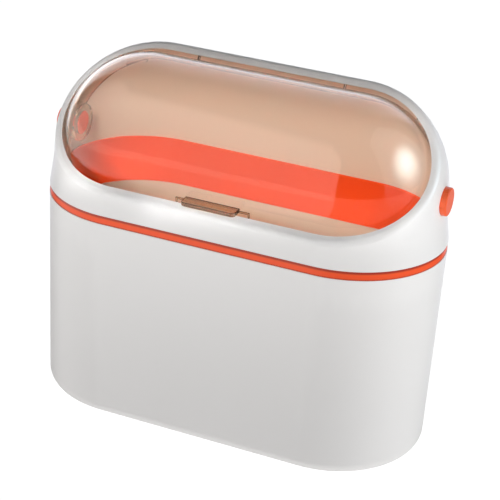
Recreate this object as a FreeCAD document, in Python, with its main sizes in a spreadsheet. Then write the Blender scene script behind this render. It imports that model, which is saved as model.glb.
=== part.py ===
"""Benchtop waste bin: drawn tub, bag ring, lift-off cover and a clear roll-top lid on two side pivots.

Frame: origin at the centre of the footprint, X along the bin's length, +Y to its back, +Z up, in mm.
Every plan outline is a stadium: two half circles about centres at +-x, joined by straight sides.
Every domed form is a capsule: the same outline revolved about the lid's pivot axis, parallel to X.
"""
import FreeCAD, Part
import math
import os
import Sketcher
from FreeCAD import Placement, Rotation, Vector

DIMENSIONS = {
    # tub
    "base_height": 0.6,
    "base_radius": 57.8,
    "plan_centre": 65.7,
    "plan_radius": 59.3,
    "tub_top": 130.6,
    "tub_wall": 2.4,
    "tub_floor": 2.8,
    "tub_bottom_round": 8.0,
    # bag ring
    "band_top": 135.8,
    "band_radius": 58.9,
    "band_wall": 1.8,
    "skirt_top": 145.0,
    "skirt_bottom": 113.5,
    "skirt_radius": 55.2,
    "skirt_wall": 1.5,
    "web_top": 133.3,
    "web_wall": 1.4,
    "ring_edge_round": 0.6,
    # upper cover
    "cover_base": 136.1,
    "cover_waist": 151.0,
    "cover_waist_centre": 63.4,
    "cover_wall": 2.4,
    "dome_centre": 62.3,
    "pivot_height": 166.0,
    "mouth_radius": 157.0,
    "mouth_axis_back": -119.0,
    "mouth_axis_height": 296.5,
    "mouth_slope": 45.0,
    "mouth_rear_reach": 80.0,
    "lip_wall": 2.6,
    "lip_centre": 63.6,
    "lip_radius": 54.2,
    "spigot_radius": 56.8,
    "spigot_wall": 1.2,
    "spigot_top": 139.0,
    "rim_round": 3.6,
    "boss_radius": 9.0,
    "boss_face": 116.2,
    # dome lid
    "lid_centre": 65.0,
    "lid_radius": 51.5,
    "lid_wall": 2.0,
    "lid_rear_edge": 57.5,
    "lid_sweep": 142.5,
    "hook_radius": 55.4,
    "hook_bite": 0.3,
    "hook_sweep": 2.5,
    "hook_wrap": 35.0,
    "hook_gap_centre": 47.0,
    "hook_gap": 1.2,
    "hub_radius": 12.0,
    "hub_inner_face": 111.2,
    "hub_outer_face": 115.0,
    "hub_recess_radius": 7.7,
    "hub_recess_floor": 113.0,
    # handle tab
    "tab_width": 34.0,
    "tab_length": 8.0,
    "tab_wall": 2.6,
    "tab_slope": 4.0,
    "tab_root_back": -50.6,
    "tab_root_height": 154.2,
    "tab_corner": 3.0,
    "tab_edge_round": 0.6,
    "root_rib_half": 23.0,
    "root_rib_wall": 0.9,
    "root_rib_start": 192.2,
    "root_rib_sweep": 1.1,
    "root_leg_width": 0.9,
    "root_leg_sweep": 3.6,
    # pivots
    "pin_seat": 120.7,
    "pin_head_radius": 8.4,
    "pin_head_height": 4.2,
    "pin_head_round": 1.0,
    "pin_radius": 4.0,
    "pin_end": 112.0,
    "pin_clearance": 0.05,
    "head_clearance": 0.2,
    "cap_radius": 7.4,
    "cap_inner_face": 111.3,
    "cap_outer_face": 112.8,
    "cap_round": 0.5,
    "washer_radius": 7.0,
    "washer_face": 115.2,
    # feet
    "foot_radius": 6.0,
    "foot_height": 1.6,
    "foot_seat": 1.0,
    "foot_x": 85.0,
    "foot_y": 34.0,
    # how far a cutting form runs past what it cuts
    "cut_margin": 5.0,
}

doc = FreeCAD.newDocument("benchtop_bin")
sheet = doc.addObject("Spreadsheet::Sheet", "sizes")
for row, (alias, value) in enumerate(DIMENSIONS.items(), start=1):
    sheet.set(f"A{row}", alias)
    sheet.set(f"B{row}", str(value))
    sheet.setAlias(f"B{row}", alias)
doc.recompute()

SUB_PARTS = []


def size(alias):
    """A driving dimension, read back from the sheet."""
    return float(sheet.get(alias))


def bind(target, path, expression):
    """Bind one property to the sheet; bare words in the expression are the sheet's aliases."""
    words = expression.replace("(", " ( ").replace(")", " ) ").split()
    bound = ["sizes." + word if word in DIMENSIONS else word for word in words]
    text = " ".join(bound)
    for function in ("sin", "cos", "atan"):
        text = text.replace(function + " (", function + "(")
    target.setExpression(path, text)


def keep(item, label):
    """Name a finished sub-part and list it for export."""
    item.Label = label
    SUB_PARTS.append(item)
    return item


def new_body(name):
    return doc.addObject("PartDesign::Body", name)


def origin_plane(body, role):
    return next(item for item in body.Origin.OriginFeatures if item.Role == role)


def new_sketch(body, name, role="XY_Plane", height=None, tilt=None):
    """A sketch on one of the body's own planes, lifted by height and turned about X by tilt degrees."""
    sketch = body.newObject("Sketcher::SketchObject", name)
    sketch.AttachmentSupport = (origin_plane(body, role), [""])
    sketch.MapMode = "FlatFace"
    if tilt:
        sketch.AttachmentOffset = Placement(Vector(), Rotation(Vector(1, 0, 0), 1.0))
        bind(sketch, ".AttachmentOffset.Rotation.Angle", tilt)
    if height:
        bind(sketch, ".AttachmentOffset.Base.z", height)
    return sketch


def dimension(sketch, name, expression, constraint):
    """Add a dimensional constraint, name it and drive it from the sheet."""
    index = sketch.addConstraint(constraint)
    sketch.renameConstraint(index, name)
    bind(sketch, f"Constraints.{name}", expression)


def add_stadium(sketch, tag, centre, radius):
    """A closed stadium about the sketch origin: arcs at +-centre on the X axis."""
    up, ahead = Vector(0, 0, 1), 60.0
    right = sketch.addGeometry(Part.ArcOfCircle(Part.Circle(Vector(ahead, 0, 0), up, 50.0),
                                                -math.pi / 2, math.pi / 2))
    top = sketch.addGeometry(Part.LineSegment(Vector(ahead, 50, 0), Vector(-ahead, 50, 0)))
    left = sketch.addGeometry(Part.ArcOfCircle(Part.Circle(Vector(-ahead, 0, 0), up, 50.0),
                                               math.pi / 2, 3 * math.pi / 2))
    bottom = sketch.addGeometry(Part.LineSegment(Vector(-ahead, -50, 0), Vector(ahead, -50, 0)))
    chain = (right, top, left, bottom)
    for first, second in zip(chain, chain[1:] + chain[:1]):
        sketch.addConstraint(Sketcher.Constraint("Tangent", first, 2, second, 1))
    sketch.addConstraint(Sketcher.Constraint("Symmetric", right, 3, left, 3, -1, 1))
    sketch.addConstraint(Sketcher.Constraint("Equal", right, left))
    sketch.addConstraint(Sketcher.Constraint("Horizontal", top))
    dimension(sketch, tag + "_radius", radius, Sketcher.Constraint("Radius", right, 50.0))
    dimension(sketch, tag + "_centre", centre,
              Sketcher.Constraint("DistanceX", -1, 1, right, 3, ahead))


def stadium_sketch(body, name, height, centre, radius):
    sketch = new_sketch(body, name, height=height)
    add_stadium(sketch, "outline", centre, radius)
    return sketch


def half_stadium_sketch(body, name, height, centre, radius, tilt=None):
    """The upper half of a stadium, closed along the X axis, ready to be revolved about it."""
    sketch = new_sketch(body, name, height=height, tilt=tilt)
    up, ahead = Vector(0, 0, 1), 60.0
    base = sketch.addGeometry(Part.LineSegment(Vector(-ahead - 50, 0, 0), Vector(ahead + 50, 0, 0)))
    right = sketch.addGeometry(Part.ArcOfCircle(Part.Circle(Vector(ahead, 0, 0), up, 50.0),
                                                0.0, math.pi / 2))
    top = sketch.addGeometry(Part.LineSegment(Vector(ahead, 50, 0), Vector(-ahead, 50, 0)))
    left = sketch.addGeometry(Part.ArcOfCircle(Part.Circle(Vector(-ahead, 0, 0), up, 50.0),
                                               math.pi / 2, math.pi))
    sketch.addConstraint(Sketcher.Constraint("Coincident", base, 2, right, 1))
    sketch.addConstraint(Sketcher.Constraint("Tangent", right, 2, top, 1))
    sketch.addConstraint(Sketcher.Constraint("Tangent", top, 2, left, 1))
    sketch.addConstraint(Sketcher.Constraint("Coincident", left, 2, base, 1))
    sketch.addConstraint(Sketcher.Constraint("Symmetric", right, 3, left, 3, -1, 1))
    sketch.addConstraint(Sketcher.Constraint("PointOnObject", right, 3, -1))
    sketch.addConstraint(Sketcher.Constraint("Horizontal", top))
    sketch.addConstraint(Sketcher.Constraint("PointOnObject", base, 1, -1))
    sketch.addConstraint(Sketcher.Constraint("PointOnObject", base, 2, -1))
    dimension(sketch, "outline_radius", radius, Sketcher.Constraint("Radius", right, 50.0))
    dimension(sketch, "outline_centre", centre,
              Sketcher.Constraint("DistanceX", -1, 1, right, 3, ahead))
    return sketch


def add_pad(body, name, sketch, length, reverse=False, midplane=False):
    pad = body.newObject("PartDesign::Pad", name)
    pad.Profile = sketch
    pad.Reversed = reverse
    pad.Midplane = midplane
    bind(pad, "Length", length)
    doc.recompute()
    return pad


def add_pocket(body, name, sketch, length, reverse=False):
    """Cut along the sketch's normal; the volume has to fall, or the direction is wrong."""
    before = body.Shape.Volume
    pocket = body.newObject("PartDesign::Pocket", name)
    pocket.Profile = sketch
    pocket.Reversed = reverse
    bind(pocket, "Length", length)
    doc.recompute()
    if body.Shape.Volume >= before:
        raise RuntimeError(name + " removed nothing")
    return pocket


def add_loft(body, name, sketches):
    loft = body.newObject("PartDesign::AdditiveLoft", name)
    loft.Profile = sketches[0]
    loft.Sections = sketches[1:]
    doc.recompute()
    return loft


def add_revolution(body, name, sketch, sweep):
    """Revolve about the sketch's X axis, from +Y towards +Z."""
    turned = body.newObject("PartDesign::Revolution", name)
    turned.Profile = sketch
    turned.ReferenceAxis = (sketch, ["H_Axis"])
    bind(turned, "Angle", sweep)
    doc.recompute()
    return turned


def add_groove(body, name, sketch, sweep):
    before = body.Shape.Volume
    groove = body.newObject("PartDesign::Groove", name)
    groove.Profile = sketch
    groove.ReferenceAxis = (sketch, ["H_Axis"])
    bind(groove, "Angle", sweep)
    doc.recompute()
    if body.Shape.Volume >= before:
        raise RuntimeError(name + " removed nothing")
    return groove


def edges_where(shape, test):
    return [f"Edge{number}" for number, edge in enumerate(shape.Edges, start=1) if test(edge)]


def add_fillet(body, name, test, radius):
    """Round every edge of the body that the test picks."""
    base = body.Tip
    fillet = body.newObject("PartDesign::Fillet", name)
    fillet.Base = (base, edges_where(base.Shape, test))
    bind(fillet, "Radius", radius)
    doc.recompute()
    return fillet


def lies_at(edge, height):
    box = edge.BoundBox
    return abs(box.ZMin - height) < 1e-3 and abs(box.ZMax - height) < 1e-3


def stadium_prism(body, name, bottom, top, centre, radius):
    outline = stadium_sketch(body, name + "_outline", bottom, centre, radius)
    return add_pad(body, name, outline, f"{top} - {bottom}")


def build_tub():
    """Drawn tub: a gently drafted stadium with a rounded floor edge, open at the top."""
    body = new_body("tub_body")
    base = stadium_sketch(body, "tub_base_outline", "base_height", "plan_centre", "base_radius")
    walls = add_pad(body, "tub_walls", base, "tub_top - base_height")
    draft = "atan( ( plan_radius - base_radius ) / ( tub_top - base_height ) )"
    bind(walls, "TaperAngle", draft)
    doc.recompute()
    add_fillet(body, "tub_foot_round", lambda edge: lies_at(edge, size("base_height")),
               "tub_bottom_round")
    inside = stadium_sketch(body, "tub_inside_outline", "tub_top", "plan_centre",
                            "plan_radius - tub_wall")
    hollow = add_pocket(body, "tub_inside", inside, "tub_top - base_height - tub_floor")
    bind(hollow, "TaperAngle", f"-1 * {draft}")
    doc.recompute()
    floor = size("base_height") + size("tub_floor")
    add_fillet(body, "tub_inner_floor_round", lambda edge: lies_at(edge, floor),
               "tub_bottom_round - tub_wall")
    seats = new_sketch(body, "foot_seat_outlines", height="base_height")
    for number, (sign_x, sign_y) in enumerate(((1, 1), (-1, 1), (-1, -1), (1, -1)), start=1):
        place = Vector(sign_x * size("foot_x"), sign_y * size("foot_y"), 0)
        circle = seats.addGeometry(Part.Circle(place, Vector(0, 0, 1), size("foot_radius")))
        dimension(seats, f"seat_{number}_radius", "foot_radius + 0.1",
                  Sketcher.Constraint("Radius", circle, size("foot_radius")))
        dimension(seats, f"seat_{number}_x", f"{sign_x} * foot_x",
                  Sketcher.Constraint("DistanceX", -1, 1, circle, 3, place.x))
        dimension(seats, f"seat_{number}_y", f"{sign_y} * foot_y",
                  Sketcher.Constraint("DistanceY", -1, 1, circle, 3, place.y))
    add_pocket(body, "foot_seats", seats, "foot_seat", reverse=True)
    keep(body, "tub_shell")


def build_feet():
    """Four round anti-slip pads, pressed into the seats under the tub."""
    for across, sign_x in (("left", -1), ("right", 1)):
        for along, sign_y in (("front", -1), ("rear", 1)):
            foot = doc.addObject("Part::Cylinder", f"foot_{along}_{across}_disc")
            bind(foot, "Radius", "foot_radius")
            bind(foot, "Height", "foot_height")
            bind(foot, ".Placement.Base.x", f"{sign_x} * foot_x")
            bind(foot, ".Placement.Base.y", f"{sign_y} * foot_y")
            keep(foot, f"foot_pad_{along}_{across}")


def build_bag_ring():
    """Bag ring: a band that sits on the tub's rim, a web, and a skirt that holds the bag's mouth."""
    body = new_body("ring_body")
    stadium_prism(body, "band", "tub_top", "band_top", "plan_centre", "band_radius")
    stadium_prism(body, "skirt_above", "tub_top", "skirt_top", "plan_centre", "skirt_radius")
    stadium_prism(body, "skirt_below", "skirt_bottom", "tub_top", "plan_centre", "skirt_radius")
    mouth = stadium_sketch(body, "ring_mouth_outline", "skirt_bottom", "plan_centre",
                           "skirt_radius - skirt_wall")
    add_pocket(body, "ring_mouth", mouth, "skirt_top - skirt_bottom", reverse=True)
    upper = stadium_sketch(body, "upper_channel_outline", "web_top", "plan_centre",
                           "band_radius - band_wall")
    add_stadium(upper, "inner", "plan_centre", "skirt_radius")
    add_pocket(body, "upper_channel", upper, "band_top - web_top", reverse=True)
    lower = stadium_sketch(body, "lower_channel_outline", "tub_top", "plan_centre",
                           "band_radius - band_wall")
    add_stadium(lower, "inner", "plan_centre", "skirt_radius")
    add_pocket(body, "lower_channel", lower, "web_top - web_wall - tub_top", reverse=True)
    add_fillet(body, "skirt_edges_round",
               lambda edge: lies_at(edge, size("skirt_top")) or lies_at(edge, size("skirt_bottom")),
               "ring_edge_round")
    keep(body, "bag_ring")


def dome_form(name, inset, bottom):
    """A solid of the cover's outline moved in by inset: leaning end walls under half a capsule."""
    body = new_body(name)
    radius = f"plan_radius - {inset}"
    base = stadium_sketch(body, name + "_base", bottom, "plan_centre", radius)
    waist = stadium_sketch(body, name + "_waist", "cover_waist", "cover_waist_centre", radius)
    top = stadium_sketch(body, name + "_top", "pivot_height", "dome_centre", radius)
    add_loft(body, name + "_walls", [base, waist, top])
    cap = half_stadium_sketch(body, name + "_cap", "pivot_height", "dome_centre", radius)
    add_revolution(body, name + "_dome", cap, "180")
    return body


def lip_form(name):
    """The clear space inside the mouth's lip: straight walls under half a capsule."""
    body = new_body(name)
    stadium_prism(body, name + "_walls", "spigot_top", "pivot_height", "lip_centre", "lip_radius")
    cap = half_stadium_sketch(body, name + "_cap", "pivot_height", "lip_centre", "lip_radius")
    add_revolution(body, name + "_dome", cap, "180")
    return body


def mouth_form(name, inset):
    """What the slanting mouth clears, widened by inset: a cylinder along X at the front, and a flat that
    carries on from it at the mouth's slope, up to the rear."""
    radius = f"mouth_radius + {inset}"
    length = "4 * ( plan_radius + plan_centre )"
    end = "-2 * ( plan_radius + plan_centre )"
    round_part = doc.addObject("Part::Cylinder", name + "_round")
    bind(round_part, "Radius", radius)
    bind(round_part, "Height", length)
    round_part.Placement = Placement(Vector(), Rotation(Vector(0, 1, 0), 90))
    bind(round_part, ".Placement.Base.x", end)
    bind(round_part, ".Placement.Base.y", "mouth_axis_back")
    bind(round_part, ".Placement.Base.z", "mouth_axis_height")
    flat_part = doc.addObject("Part::Box", name + "_flat")
    bind(flat_part, "Length", length)
    bind(flat_part, "Width", "mouth_rear_reach")
    bind(flat_part, "Height", radius)
    flat_part.Placement = Placement(Vector(), Rotation(Vector(1, 0, 0), 1.0))
    bind(flat_part, ".Placement.Rotation.Angle", "mouth_slope")
    bind(flat_part, ".Placement.Base.x", end)
    bind(flat_part, ".Placement.Base.y", f"mouth_axis_back + ( {radius} ) * sin(mouth_slope)")
    bind(flat_part, ".Placement.Base.z", f"mouth_axis_height - ( {radius} ) * cos(mouth_slope)")
    return boolean("MultiFuse", name, round_part, [flat_part])


def side_cylinder(name, side, radius, inner_face, outer_face):
    """A cylinder on the pivot axis at one end of the bin, between two distances from the middle."""
    cylinder = doc.addObject("Part::Cylinder", name)
    bind(cylinder, "Radius", radius)
    bind(cylinder, "Height", f"( {outer_face} ) - ( {inner_face} )")
    cylinder.Placement = Placement(Vector(), Rotation(Vector(0, 1, 0), 90 * side))
    bind(cylinder, ".Placement.Base.x", f"{side} * ( {inner_face} )")
    bind(cylinder, ".Placement.Base.z", "pivot_height")
    return cylinder


def boolean(kind, name, base, tool):
    """Part::Cut or Part::Common of two objects, or Part::MultiFuse of a list."""
    item = doc.addObject("Part::" + kind, name)
    if kind == "MultiFuse":
        item.Shapes = [base] + tool
    else:
        item.Base = base
        item.Tool = tool
    doc.recompute()
    return item


def on_mouth_rim(edge):
    """True for an edge where the mouth's cut leaves the cover's outer surface."""
    middle = edge.valueAt((edge.FirstParameter + edge.LastParameter) / 2)
    slope = math.radians(size("mouth_slope"))
    back = middle.y - size("mouth_axis_back")
    up = middle.z - size("mouth_axis_height")
    on_flat = back * math.cos(slope) + up * math.sin(slope) > 0
    depth = back * math.sin(slope) - up * math.cos(slope) if on_flat else math.hypot(back, up)
    if abs(depth - size("mouth_radius")) > 0.01:
        return False
    beyond = max(abs(middle.x) - size("plan_centre"), 0.0)
    above = max(middle.z - size("pivot_height"), 0.0)
    return math.sqrt(beyond ** 2 + middle.y ** 2 + above ** 2) > size("lip_radius") + 0.5


def build_upper_cover():
    """Cover: a thin domed shell with a slanting mouth, an inward lip round it and two pivot bosses."""
    outer = dome_form("cover_outside", "0", "cover_base")
    inner = dome_form("cover_inside", "cover_wall", "cover_base")
    lip_floor = mouth_form("lip_floor", "lip_wall")
    hollow = boolean("Cut", "cover_hollow", inner, lip_floor)
    space = boolean("MultiFuse", "cover_space", hollow, [lip_form("cover_lip_space")])
    shell = boolean("Cut", "cover_shell", outer, space)
    bosses = []
    bores = []
    for side, word in ((1, "right"), (-1, "left")):
        boss = side_cylinder(f"{word}_boss", side, "boss_radius", "boss_face", "pin_seat")
        bosses.append(boss)
        bores.append(side_cylinder(f"{word}_bore", side, "pin_radius + pin_clearance",
                                   "boss_face - cut_margin", "pin_seat + cut_margin"))
        bores.append(side_cylinder(f"{word}_head_seat", side, "pin_head_radius + head_clearance",
                                   "pin_seat", "pin_seat + cut_margin"))
    spigot = new_body("spigot_body")
    stadium_prism(spigot, "spigot", "web_top", "spigot_top", "plan_centre", "spigot_radius")
    inside = stadium_sketch(spigot, "spigot_inside_outline", "web_top", "plan_centre",
                            "spigot_radius - spigot_wall")
    add_pocket(spigot, "spigot_inside", inside, "spigot_top - web_top", reverse=True)
    whole = boolean("MultiFuse", "cover_with_bosses", shell, bosses + [spigot])
    mouth = mouth_form("mouth_cut", "0")
    cutters = boolean("MultiFuse", "cover_cutters", mouth, bores)
    opened = boolean("Cut", "cover_opened", whole, cutters)
    rounded = doc.addObject("Part::Fillet", "cover_rim_round")
    rounded.Base = opened
    rounded.Edges = [(number, size("rim_round"), size("rim_round"))
                     for number, edge in enumerate(opened.Shape.Edges, start=1)
                     if on_mouth_rim(edge)]
    keep(rounded, "upper_cover")


def build_dome_lid():
    """Clear lid: a sector of a capsule shell with a round hub at each end and a hooked rear edge."""
    body = new_body("lid_body")
    solid = half_stadium_sketch(body, "lid_outline", "pivot_height", "lid_centre", "lid_radius",
                                tilt="lid_rear_edge")
    add_revolution(body, "lid_sector", solid, "lid_sweep")
    hollow = half_stadium_sketch(body, "lid_inner_outline", "pivot_height", "lid_centre",
                                 "lid_radius - lid_wall")
    add_groove(body, "lid_hollow", hollow, "360")
    hubs = [side_cylinder(f"{word}_hub", side, "hub_radius", "hub_inner_face", "hub_outer_face")
            for side, word in ((1, "right"), (-1, "left"))]
    hook = new_body("hook_body")
    outside = half_stadium_sketch(hook, "hook_outline", "pivot_height", "dome_centre", "hook_radius",
                                  tilt="lid_rear_edge")
    add_revolution(hook, "hook_sector", outside, "hook_sweep")
    inside = half_stadium_sketch(hook, "hook_inner_outline", "pivot_height", "dome_centre",
                                 "lid_radius - hook_bite")
    add_groove(hook, "hook_hollow", inside, "360")
    bounds = doc.addObject("Part::Box", "hook_reach")
    reach = "( dome_centre + hook_radius * sin(hook_wrap) )"
    bind(bounds, "Length", f"2 * {reach}")
    bind(bounds, "Width", "plan_radius")
    bind(bounds, "Height", "plan_radius")
    bind(bounds, ".Placement.Base.x", f"-1 * {reach}")
    bind(bounds, ".Placement.Base.z", "pivot_height")
    strip = boolean("Common", "hook_strip", hook, bounds)
    slots = []
    for side, word in ((1, "right"), (-1, "left")):
        slot = doc.addObject("Part::Box", f"{word}_hook_gap")
        bind(slot, "Length", "hook_gap")
        bind(slot, "Width", "plan_radius")
        bind(slot, "Height", "plan_radius")
        bind(slot, ".Placement.Base.x", f"{side} * hook_gap_centre - hook_gap / 2")
        bind(slot, ".Placement.Base.z", "pivot_height")
        slots.append(slot)
    gaps = boolean("MultiFuse", "hook_gaps", slots[0], slots[1:])
    hooks = boolean("Cut", "hook_segments", strip, gaps)
    whole = boolean("MultiFuse", "lid_with_hubs", body, hubs + [hooks])
    bores = []
    for side, word in ((1, "right"), (-1, "left")):
        bores.append(side_cylinder(f"{word}_hub_bore", side, "pin_radius + pin_clearance",
                                   "hub_inner_face - cut_margin", "hub_outer_face + cut_margin"))
        bores.append(side_cylinder(f"{word}_hub_recess", side, "hub_recess_radius",
                                   "hub_inner_face - cut_margin", "hub_recess_floor"))
        bores.append(side_cylinder(f"{word}_hub_facing", side, "hub_radius + cut_margin",
                                   "hub_outer_face", "hub_outer_face + cut_margin"))
    cutters = boolean("MultiFuse", "lid_cutters", bores[0], bores[1:])
    keep(boolean("Cut", "lid_bored", whole, cutters), "dome_lid")


def rib_rectangle(sketch, tag, start, end):
    """A rectangle on the lid's outer surface; start and end along X are each an expression and its value."""
    low, high = size("lid_radius"), size("lid_radius") + size("root_rib_wall")
    (start, left), (end, right) = start, end
    corners = [Vector(left, low, 0), Vector(right, low, 0), Vector(right, high, 0), Vector(left, high, 0)]
    lines = [sketch.addGeometry(Part.LineSegment(first, second))
             for first, second in zip(corners, corners[1:] + corners[:1])]
    for first, second in zip(lines, lines[1:] + lines[:1]):
        sketch.addConstraint(Sketcher.Constraint("Coincident", first, 2, second, 1))
    for line, kind in zip(lines, ("Horizontal", "Vertical", "Horizontal", "Vertical")):
        sketch.addConstraint(Sketcher.Constraint(kind, line))
    dimension(sketch, tag + "_seat", "lid_radius",
              Sketcher.Constraint("DistanceY", -1, 1, lines[0], 1, low))
    dimension(sketch, tag + "_wall", "root_rib_wall",
              Sketcher.Constraint("DistanceY", lines[1], 1, lines[1], 2, 1.0))
    dimension(sketch, tag + "_start", start,
              Sketcher.Constraint("DistanceX", -1, 1, lines[0], 1, left))
    dimension(sketch, tag + "_end", end,
              Sketcher.Constraint("DistanceX", -1, 1, lines[0], 2, right))


def build_handle_tab():
    """Pull tab: a rounded plate that stands out over the rim, on a thin rib with a short leg at each end."""
    body = new_body("tab_body")
    half, leg = size("root_rib_half"), size("root_leg_width")
    bar = new_sketch(body, "root_bar_section", height="pivot_height", tilt="root_rib_start")
    rib_rectangle(bar, "bar", ("-1 * root_rib_half", -half), ("root_rib_half", half))
    add_revolution(body, "root_bar", bar, "root_rib_sweep")
    legs = new_sketch(body, "root_leg_sections", height="pivot_height", tilt="root_rib_start")
    rib_rectangle(legs, "right", ("root_rib_half - root_leg_width", half - leg), ("root_rib_half", half))
    rib_rectangle(legs, "left", ("-1 * root_rib_half", -half), ("root_leg_width - root_rib_half", leg - half))
    add_revolution(body, "root_legs", legs, "root_leg_sweep")
    blade = doc.addObject("Part::Box", "tab_blade")
    bind(blade, "Length", "tab_width")
    bind(blade, "Width", "tab_length")
    bind(blade, "Height", "tab_wall")
    blade_round = doc.addObject("Part::Fillet", "tab_corners_round")
    blade_round.Base = blade
    doc.recompute()
    blade_round.Edges = [(number, size("tab_corner"), size("tab_corner"))
                         for number, edge in enumerate(blade.Shape.Edges, start=1)
                         if edge.BoundBox.ZLength > 1e-3 and edge.BoundBox.YMax < 1e-3]
    doc.recompute()
    soft = doc.addObject("Part::Fillet", "tab_edges_round")
    soft.Base = blade_round
    soft.Edges = [(number, size("tab_edge_round"), size("tab_edge_round"))
                  for number, edge in enumerate(blade_round.Shape.Edges, start=1)
                  if edge.BoundBox.ZLength < 1e-3 and edge.BoundBox.YMin < size("tab_length") - 1e-3]
    slope = math.radians(size("tab_slope"))
    reach = size("tab_length")
    soft.Placement = Placement(Vector(-size("tab_width") / 2,
                                      size("tab_root_back") - reach * math.cos(slope),
                                      size("tab_root_height") - reach * math.sin(slope)),
                               Rotation(Vector(1, 0, 0), size("tab_slope")))
    doc.recompute()
    keep(boolean("MultiFuse", "tab_whole", body, [soft]), "handle_tab")


def build_pivot(side, word):
    """One pivot: a headed pin through the cover's boss, a washer, and a cap pressed on its end."""
    head = side_cylinder(f"{word}_pin_head", side, "pin_head_radius", "pin_seat",
                         "pin_seat + pin_head_height")
    doc.recompute()
    outer = size("pin_seat") + size("pin_head_height")
    head_round = doc.addObject("Part::Fillet", f"{word}_pin_head_round")
    head_round.Base = head
    head_round.Edges = [(number, size("pin_head_round"), size("pin_head_round"))
                        for number, edge in enumerate(head.Shape.Edges, start=1)
                        if abs(abs(edge.BoundBox.Center.x) - outer) < 1e-3]
    shank = side_cylinder(f"{word}_pin_shank", side, "pin_radius", "pin_end",
                          "pin_seat + pin_head_height / 2")
    keep(boolean("MultiFuse", f"{word}_pin_whole", head_round, [shank]), f"pivot_pin_{word}")

    disc = side_cylinder(f"{word}_washer_disc", side, "washer_radius", "washer_face", "boss_face")
    hole = side_cylinder(f"{word}_washer_hole", side, "pin_radius + pin_clearance",
                         "washer_face - cut_margin", "boss_face + cut_margin")
    keep(boolean("Cut", f"{word}_washer_cut", disc, hole), f"pivot_washer_{word}")

    blank = side_cylinder(f"{word}_cap_blank", side, "cap_radius", "cap_inner_face", "cap_outer_face")
    socket = side_cylinder(f"{word}_cap_socket", side, "pin_radius", "pin_end",
                           "cap_outer_face + cut_margin")
    bored = boolean("Cut", f"{word}_cap_bored", blank, socket)
    cap = doc.addObject("Part::Fillet", f"{word}_cap_round")
    cap.Base = bored
    cap.Edges = [(number, size("cap_round"), size("cap_round"))
                 for number, edge in enumerate(bored.Shape.Edges, start=1)
                 if abs(abs(edge.BoundBox.Center.x) - size("cap_inner_face")) < 1e-3]
    doc.recompute()
    keep(cap, f"pivot_cap_{word}")


def check_and_export():
    """Stop on any failed object or bad shape, then write one STEP file per sub-part."""
    doc.recompute()
    for item in doc.Objects:
        if "Invalid" in item.State or "Error" in item.State:
            raise RuntimeError(f"{item.Name} did not compute: {item.State}")
    os.makedirs("parts", exist_ok=True)
    for item in SUB_PARTS:
        shape = item.Shape
        if shape.isNull() or not shape.isValid():
            raise RuntimeError(f"{item.Label} has a bad shape")
        shape.exportStep(f"parts/{item.Label}.step")
        box = shape.BoundBox
        print(f"{item.Label:20s} solids {len(shape.Solids)}  volume {shape.Volume / 1000:8.3f} cm3"
              f"  x {box.XMin:.1f}..{box.XMax:.1f}  y {box.YMin:.1f}..{box.YMax:.1f}"
              f"  z {box.ZMin:.1f}..{box.ZMax:.1f}")


build_tub()
build_feet()
build_bag_ring()
build_upper_cover()
build_dome_lid()
build_handle_tab()
for pivot_side, pivot_word in ((1, "right"), (-1, "left")):
    build_pivot(pivot_side, pivot_word)
check_and_export()
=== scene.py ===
import math

import bpy
from mathutils import Matrix, Vector


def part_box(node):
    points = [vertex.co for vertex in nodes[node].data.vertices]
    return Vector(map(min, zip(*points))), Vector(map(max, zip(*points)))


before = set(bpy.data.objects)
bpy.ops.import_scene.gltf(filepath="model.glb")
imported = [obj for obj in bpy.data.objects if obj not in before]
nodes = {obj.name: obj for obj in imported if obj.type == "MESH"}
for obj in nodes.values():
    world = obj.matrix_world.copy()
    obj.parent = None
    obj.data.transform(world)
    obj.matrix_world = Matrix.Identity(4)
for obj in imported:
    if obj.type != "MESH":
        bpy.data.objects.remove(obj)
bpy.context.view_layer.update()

# ---------------------------------------------------------------- camera

VIEW_AZIMUTH = math.radians(21.30)
VIEW_ELEVATION = math.radians(25.33)
VIEW_ROLL = math.radians(3.919)
VIEW_DISTANCE = 0.97616
VIEW_AIM = Vector((0.003609, 0.003909, 0.104925))
SENSOR_WIDTH = 36.0
FOCAL_LENGTH = 115.03


def make_camera():
    """A camera at the view's angle, aimed at VIEW_AIM and rolled about its own axis."""
    azimuth, elevation = VIEW_AZIMUTH, VIEW_ELEVATION
    back = Vector((math.sin(azimuth) * math.cos(elevation),
                   -math.cos(azimuth) * math.cos(elevation),
                   math.sin(elevation)))
    right = Vector((math.cos(azimuth), math.sin(azimuth), 0.0))
    up = back.cross(right)
    rolled_right = right * math.cos(VIEW_ROLL) + up * math.sin(VIEW_ROLL)
    rolled_up = up * math.cos(VIEW_ROLL) - right * math.sin(VIEW_ROLL)
    aim = VIEW_AIM
    place = Matrix((rolled_right, rolled_up, back)).transposed().to_4x4()
    place.translation = aim + back * VIEW_DISTANCE
    data = bpy.data.cameras.new("studio_camera")
    data.sensor_width = SENSOR_WIDTH
    data.lens = FOCAL_LENGTH
    camera = bpy.data.objects.new("studio_camera", data)
    camera.matrix_world = place
    bpy.context.scene.collection.objects.link(camera)
    bpy.context.scene.camera = camera


# ---------------------------------------------------------------- node helpers

def new_material(name):
    """An empty node material and its tree."""
    material = bpy.data.materials.new(name)
    material.use_nodes = True
    tree = material.node_tree
    tree.nodes.clear()
    return material, tree


def node(tree, kind, inputs=None, **settings):
    """Adds a node, sets its properties, and fills or links its inputs by name or index."""
    made = tree.nodes.new(kind)
    for key, value in settings.items():
        setattr(made, key, value)
    for key, value in (inputs or {}).items():
        socket = made.inputs[key]
        if isinstance(value, bpy.types.NodeSocket):
            tree.links.new(value, socket)
        else:
            socket.default_value = value
    return made


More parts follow.
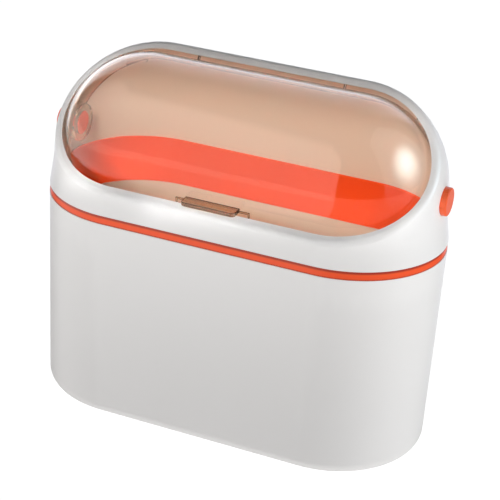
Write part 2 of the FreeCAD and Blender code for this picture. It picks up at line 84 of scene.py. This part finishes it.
def noise(tree, place, scale, detail=3.0, roughness=0.5):
    return node(tree, "ShaderNodeTexNoise",
                {"Vector": place, "Scale": scale, "Detail": detail, "Roughness": roughness}).outputs["Fac"]


def remap(tree, value, low, high, to_low, to_high, smooth=False):
    """Moves value from low..high to to_low..to_high, clamped."""
    return node(tree, "ShaderNodeMapRange",
                {"Value": value, "From Min": low, "From Max": high, "To Min": to_low, "To Max": to_high},
                interpolation_type="SMOOTHSTEP" if smooth else "LINEAR").outputs["Result"]


def blend_colour(tree, factor, first, second):
    return node(tree, "ShaderNodeMix", {0: factor, 6: first, 7: second}, data_type="RGBA").outputs[2]


def maths(tree, operation, first, second=0.0):
    """The result of a Math node."""
    return node(tree, "ShaderNodeMath", {0: first, 1: second}, operation=operation).outputs[0]


def vector_maths(tree, operation, first, second=(0.0, 0.0, 0.0), output="Vector"):
    """The result of a Vector Math node; lengths and distances are its "Value" output."""
    return node(tree, "ShaderNodeVectorMath", {0: first, 1: second}, operation=operation).outputs[output]


def rgba(colour):
    return (*colour, 1.0)


# ---------------------------------------------------------------- materials

PLASTIC_IOR = 1.49
FLOW_SCALE = 14.0
RUB_SCALE = 55.0
EDGE_START = 0.505
EDGE_FULL = 0.56
EDGE_POLISH = 0.18
BAND_HEIGHT = 0.0052
BAND_SKIN = 0.0012
# Painted shade: a dark line along the gaps above and below the ring's outer band stands in for their shadow.
GAP_SHADE_REACH = 0.0010
GAP_SHADE_STRENGTH_BELOW = 0.7
GAP_SHADE_COLOUR = (0.42, 0.026, 0.008)


def band_gap_shade(tree, place):
    """Painted shade of the gaps above and below the ring's outer band: up to one along its top and bottom
    edges, nought on the rest of the ring.
    """
    (left, front, _), (right, back, _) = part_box("bag_ring")
    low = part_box("tub_shell")[1][2]
    high = low + BAND_HEIGHT
    radius = (back - front) / 2
    straight = (right - left) / 2 - radius
    apart = node(tree, "ShaderNodeSeparateXYZ", {0: place})
    across = maths(tree, "ABSOLUTE", apart.outputs["X"])
    past = maths(tree, "MAXIMUM", maths(tree, "SUBTRACT", across, straight))
    flat = node(tree, "ShaderNodeCombineXYZ", {0: past, 1: apart.outputs["Y"]}).outputs[0]
    reach = vector_maths(tree, "LENGTH", flat, output="Value")
    outside = remap(tree, reach, radius - BAND_SKIN, radius - BAND_SKIN / 2, 0.0, 1.0)
    bottom = remap(tree, apart.outputs["Z"], low, low + GAP_SHADE_REACH, GAP_SHADE_STRENGTH_BELOW, 0.0, smooth=True)
    top = remap(tree, apart.outputs["Z"], high - 2.0 * GAP_SHADE_REACH, high - 0.6 * GAP_SHADE_REACH, 0.0, 1.0,
                smooth=True)
    return maths(tree, "MULTIPLY", outside, maths(tree, "MAXIMUM", bottom, top))


def moulded_plastic(name, colour, shade, rough, grain=2600.0, grain_depth=0.000012, worn=0.35,
                    mottle=0.05, painted_gap_shade=False):
    """Injection-moulded plastic: a fine sparked grain, faint flow clouds and edges rubbed smooth.

    mottle is how far the roughness wanders, and the last argument paints dark lines of shade along the gaps
    at the band's edges.
    """
    material, tree = new_material(name)
    place = node(tree, "ShaderNodeTexCoord").outputs["Object"]
    clouds = noise(tree, place, FLOW_SCALE, 3.0)
    pointed = node(tree, "ShaderNodeNewGeometry").outputs["Pointiness"]
    edge = remap(tree, pointed, EDGE_START, EDGE_FULL, 0.0, worn, smooth=True)
    flow = blend_colour(tree, remap(tree, clouds, 0.30, 0.70, 0.0, 1.0), rgba(shade), rgba(colour))
    rubbed = tuple(min(1.0, channel * 1.06 + 0.01) for channel in colour)
    final = blend_colour(tree, edge, flow, rgba(rubbed))
    # painted shade of the gaps at the top and bottom edges of the ring's band
    if painted_gap_shade:
        final = blend_colour(tree, band_gap_shade(tree, place), final, rgba(GAP_SHADE_COLOUR))
    rub = noise(tree, place, RUB_SCALE, 4.0, 0.6)
    matt = remap(tree, rub, 0.30, 0.70, rough - mottle, rough + mottle)
    gloss = maths(tree, "SUBTRACT", matt, maths(tree, "MULTIPLY", edge, EDGE_POLISH))
    sparks = noise(tree, place, grain, 2.0, 0.55)
    bump = node(tree, "ShaderNodeBump",
                {"Height": sparks, "Strength": 0.6, "Distance": grain_depth}).outputs["Normal"]
    shader = node(tree, "ShaderNodeBsdfPrincipled",
                  {"Base Color": final, "Roughness": gloss, "Normal": bump, "IOR": PLASTIC_IOR})
    node(tree, "ShaderNodeOutputMaterial", {"Surface": shader.outputs[0]})
    return material


def clear_acrylic(name, colour, shade, shadow):
    """Amber acrylic: polished faces with a faint ripple and a few hazy rub marks.

    shadow tints the light that passes through it.
    """
    material, tree = new_material(name)
    place = node(tree, "ShaderNodeTexCoord").outputs["Object"]
    ripple = noise(tree, place, 26.0, 2.0)
    haze = noise(tree, place, 120.0, 5.0, 0.65)
    tint = blend_colour(tree, ripple, rgba(shade), rgba(colour))
    gloss = remap(tree, haze, 0.45, 0.80, 0.015, 0.06)
    bump = node(tree, "ShaderNodeBump",
                {"Height": ripple, "Strength": 0.25, "Distance": 0.00010}).outputs["Normal"]
    glass = node(tree, "ShaderNodeBsdfPrincipled",
                 {"Base Color": tint, "Roughness": gloss, "Normal": bump, "IOR": PLASTIC_IOR,
                  "Transmission Weight": 1.0, "Specular IOR Level": 0.4})
    passing = node(tree, "ShaderNodeBsdfTransparent", {"Color": rgba(shadow)})
    ray = node(tree, "ShaderNodeLightPath").outputs["Is Shadow Ray"]
    mixed = node(tree, "ShaderNodeMixShader", {0: ray, 1: glass.outputs[0], 2: passing.outputs[0]})
    node(tree, "ShaderNodeOutputMaterial", {"Surface": mixed.outputs[0]})
    return material


def assign(material, *names):
    """Gives the CAD nodes their material, in every slot."""
    for name in names:
        for slot in nodes[name].material_slots:
            slot.material = material


# ---------------------------------------------------------------- studio

FLOOR_HALF = 6.0
FLOOR_GLOW = 0.95
PIVOT_HEIGHT = 0.166


def make_floor():
    """A pale, faintly glowing floor, so the bin is lit from below as on a white studio table."""
    mesh = bpy.data.meshes.new("studio_floor")
    half = FLOOR_HALF
    mesh.from_pydata([(-half, -half, 0), (half, -half, 0), (half, half, 0), (-half, half, 0)],
                     [], [(0, 1, 2, 3)])
    floor = bpy.data.objects.new("studio_floor", mesh)
    bpy.context.scene.collection.objects.link(floor)
    material, tree = new_material("studio_floor")
    place = node(tree, "ShaderNodeTexCoord").outputs["Object"]
    cloud = remap(tree, noise(tree, place, 3.0), 0.3, 0.7, 0.30, 0.33)
    tone = node(tree, "ShaderNodeCombineColor", {0: cloud, 1: cloud, 2: cloud}).outputs[0]
    matt = node(tree, "ShaderNodeBsdfPrincipled",
                {"Base Color": tone, "Roughness": 0.9, "Specular IOR Level": 0.0,
                 "Emission Color": (1.0, 1.0, 1.0, 1.0), "Emission Strength": FLOOR_GLOW})
    node(tree, "ShaderNodeOutputMaterial", {"Surface": matt.outputs[0]})
    mesh.materials.append(material)
    floor.visible_glossy = False


def make_world(ambient, seen):
    """Even light all round: the camera sees it white, and the object is lit by less of it."""
    world = bpy.data.worlds.new("studio_world")
    bpy.context.scene.world = world
    world.use_nodes = True
    tree = world.node_tree
    tree.nodes.clear()
    around = node(tree, "ShaderNodeBackground", {"Color": rgba(ambient), "Strength": 1.0})
    behind = node(tree, "ShaderNodeBackground", {"Color": rgba(seen), "Strength": 1.0})
    ray = node(tree, "ShaderNodeLightPath").outputs["Is Camera Ray"]
    mixed = node(tree, "ShaderNodeMixShader", {0: ray, 1: around.outputs[0], 2: behind.outputs[0]})
    node(tree, "ShaderNodeOutputWorld", {"Surface": mixed.outputs[0]})


def panel_glow(tree, width, height, corner, soft, core, core_at, core_reach, fade_top, fade_left,
               fade_bottom):
    """How bright each point of a panel is: rounded corners, soft edges, a brighter core and fading edges."""
    spot = node(tree, "ShaderNodeNewGeometry").outputs["Parametric"]
    centred = vector_maths(tree, "SUBTRACT", spot, (0.5, 0.5, 0.0))
    metres = vector_maths(tree, "MULTIPLY", centred, (width, height, 0.0))
    flat = vector_maths(tree, "ABSOLUTE", metres)
    past = vector_maths(tree, "SUBTRACT", flat, (width / 2 - corner, height / 2 - corner, 0.0))
    reach = vector_maths(tree, "LENGTH", vector_maths(tree, "MAXIMUM", past), output="Value")
    parts = [remap(tree, reach, corner - soft, corner, 1.0, 0.0, smooth=True)]
    apart = node(tree, "ShaderNodeSeparateXYZ", {0: metres})
    across, up = apart.outputs["X"], apart.outputs["Y"]
    if fade_top:
        parts.append(remap(tree, up, height / 2 - fade_top, height / 2, 1.0, 0.0, smooth=True))
    if fade_left:
        parts.append(remap(tree, across, -width / 2, fade_left - width / 2, 0.0, 1.0, smooth=True))
    if fade_bottom:
        parts.append(remap(tree, up, -height / 2, fade_bottom - height / 2, 0.0, 1.0, smooth=True))
    if core:
        away = vector_maths(tree, "DISTANCE", metres, (*core_at, 0.0), output="Value")
        parts.append(remap(tree, away, 0.0, core_reach, 1.0 + core, 1.0, smooth=True))
    level = parts[0]
    for part in parts[1:]:
        level = maths(tree, "MULTIPLY", level, part)
    return level


def hang_light(name, data, azimuth, elevation, distance, aim, across=0.0):
    """Puts an area light where it faces aim from that direction, moved sideways by across."""
    turn, rise = math.radians(azimuth), math.radians(elevation)
    back = Vector((math.sin(turn) * math.cos(rise), -math.cos(turn) * math.cos(rise), math.sin(rise)))
    right = Vector((math.cos(turn), math.sin(turn), 0.0))
    place = Matrix((right, back.cross(right), back)).transposed().to_4x4()
    place.translation = Vector(aim) + back * distance + right * across
    lamp = bpy.data.objects.new(name, data)
    lamp.matrix_world = place
    bpy.context.scene.collection.objects.link(lamp)
    return lamp


def softbox(name, azimuth, distance, left, right, bottom, top, radiance, colour, corner, soft,
            core=0.0, core_at=(0.0, 0.0), core_reach=0.3, fade_top=0.0, fade_left=0.0, fade_bottom=0.0):
    """A large upright panel facing the bin, that shows as a reflection in its glossy faces.

    azimuth is where it stands, turned from the front towards the right, in degrees. left, right, bottom and
    top are its edges from that direction and from the height of the lid's pivots, in metres. soft is the
    width of its blurred edge, and core is how much brighter its middle spot is.
    """
    width, height = right - left, top - bottom
    data = bpy.data.lights.new(name, "AREA")
    data.shape = "RECTANGLE"
    data.size = width
    data.size_y = height
    data.energy = 4.0 * width * height * radiance
    data.color = colour
    data.use_nodes = True
    tree = data.node_tree
    tree.nodes.clear()
    level = panel_glow(tree, width, height, corner, soft, core, core_at, core_reach,
                       fade_top, fade_left, fade_bottom)
    glow = node(tree, "ShaderNodeEmission", {"Color": (1.0, 1.0, 1.0, 1.0), "Strength": level})
    node(tree, "ShaderNodeOutputLight", {"Surface": glow.outputs[0]})
    aim = (0.0, 0.0, PIVOT_HEIGHT + (bottom + top) / 2)
    lamp = hang_light(name, data, azimuth, 0.0, distance, aim, (left + right) / 2)
    lamp.visible_diffuse = False


def key_light(name, azimuth, elevation, width, height, radiance, colour=(1.0, 1.0, 1.0), spread=180.0,
              aim=(0.0, 0.0, 0.12), distance=1.0):
    """A soft light that shapes the matt faces and leaves no reflection."""
    data = bpy.data.lights.new(name, "AREA")
    data.shape = "RECTANGLE"
    data.size = width
    data.size_y = height
    data.energy = 4.0 * width * height * radiance
    data.color = colour
    data.spread = math.radians(spread)
    lamp = hang_light(name, data, azimuth, elevation, distance, aim)
    lamp.visible_glossy = False
    lamp.visible_transmission = False


def make_studio():
    scene = bpy.context.scene
    scene.view_settings.view_transform = "Standard"
    scene.view_settings.look = "None"
    make_floor()
    make_world(ambient=(0.045, 0.045, 0.049), seen=(0.98, 0.98, 0.98))
    softbox("softbox_left", azimuth=-58.0, distance=0.8, left=-1.13, right=1.45, bottom=-0.8, top=1.75,
            radiance=0.92, colour=(1.0, 0.98, 0.965), corner=0.6, soft=0.12, fade_top=0.55, fade_left=0.95)
    softbox("softbox_right", azimuth=103.0, distance=0.8, left=-0.69, right=0.58, bottom=-0.40, top=2.30,
            radiance=0.51, colour=(0.58, 0.87, 1.0), corner=0.5, soft=0.05,
            core=13.0, core_at=(0.04, -0.57), core_reach=0.44, fade_bottom=0.7)
    softbox("backdrop_glow", azimuth=184.0, distance=1.0, left=-0.55, right=1.70, bottom=-0.85, top=1.70,
            radiance=0.80, colour=(0.87, 0.88, 1.0), corner=0.3, soft=0.25, fade_top=1.4)
    key_light("key_left", azimuth=-75.0, elevation=8.0, width=1.1, height=0.5, radiance=0.72)
    key_light("key_front", azimuth=-12.0, elevation=6.0, width=1.1, height=0.5, radiance=0.20)
    key_light("key_right", azimuth=95.0, elevation=10.0, width=1.0, height=0.5, radiance=2.30,
              colour=(0.965, 0.985, 1.0))
    key_light("key_rear", azimuth=180.0, elevation=18.0, width=1.2, height=0.5, radiance=0.8)
    key_light("mouth_fill", azimuth=10.0, elevation=26.0, width=0.46, height=0.13, radiance=0.36,
              spread=20.0, aim=(-0.01, 0.0, 0.178))
    key_light("inner_fill", azimuth=6.0, elevation=26.0, width=0.22, height=0.07, radiance=0.43,
              spread=5.0, aim=(0.0, 0.0, 0.174), distance=0.5)
    key_light("rim_fill", azimuth=16.0, elevation=26.0, width=0.13, height=0.02, radiance=0.5,
              spread=3.5, aim=(0.012, 0.0, 0.134), distance=0.5)
    key_light("rim_fill_left", azimuth=20.0, elevation=26.0, width=0.05, height=0.02, radiance=0.65,
              spread=3.0, aim=(-0.082, 0.0, 0.137), distance=0.5)


# ---------------------------------------------------------------- the bin

WHITE = (0.864, 0.848, 0.833)
WHITE_SHADE = (0.850, 0.833, 0.818)


def dress():
    """Gives every piece of the bin its material."""
    assign(moulded_plastic("tub_plastic", WHITE, WHITE_SHADE, 0.42), "tub_shell")
    assign(moulded_plastic("cover_plastic", WHITE, WHITE_SHADE, 0.38), "upper_cover")
    # the ring's colour carries a painted shade line along the gaps at its band's edges
    assign(moulded_plastic("ring_plastic", (0.98, 0.098, 0.013), (0.96, 0.090, 0.012), 0.34,
                           worn=0.08, mottle=0.015, painted_gap_shade=True), "bag_ring")
    assign(moulded_plastic("pin_plastic", (0.98, 0.135, 0.035), (0.96, 0.122, 0.032), 0.34),
           "pivot_pin_left", "pivot_pin_right", "pivot_cap_left", "pivot_cap_right")
    assign(moulded_plastic("washer_plastic", (0.74, 0.73, 0.71), (0.70, 0.69, 0.67), 0.30),
           "pivot_washer_left", "pivot_washer_right")
    assign(moulded_plastic("foot_rubber", (0.30, 0.30, 0.30), (0.26, 0.26, 0.26), 0.70,
                           grain=900.0, grain_depth=0.00004),
           "foot_pad_front_left", "foot_pad_front_right", "foot_pad_rear_left", "foot_pad_rear_right")
    assign(clear_acrylic("lid_acrylic", (1.0, 0.855, 0.725), (0.99, 0.84, 0.70), (0.985, 0.92, 0.85)),
           "dome_lid")
    assign(clear_acrylic("tab_acrylic", (0.76, 0.59, 0.46), (0.73, 0.57, 0.44), (0.86, 0.70, 0.56)),
           "handle_tab")


make_camera()
make_studio()
dress()
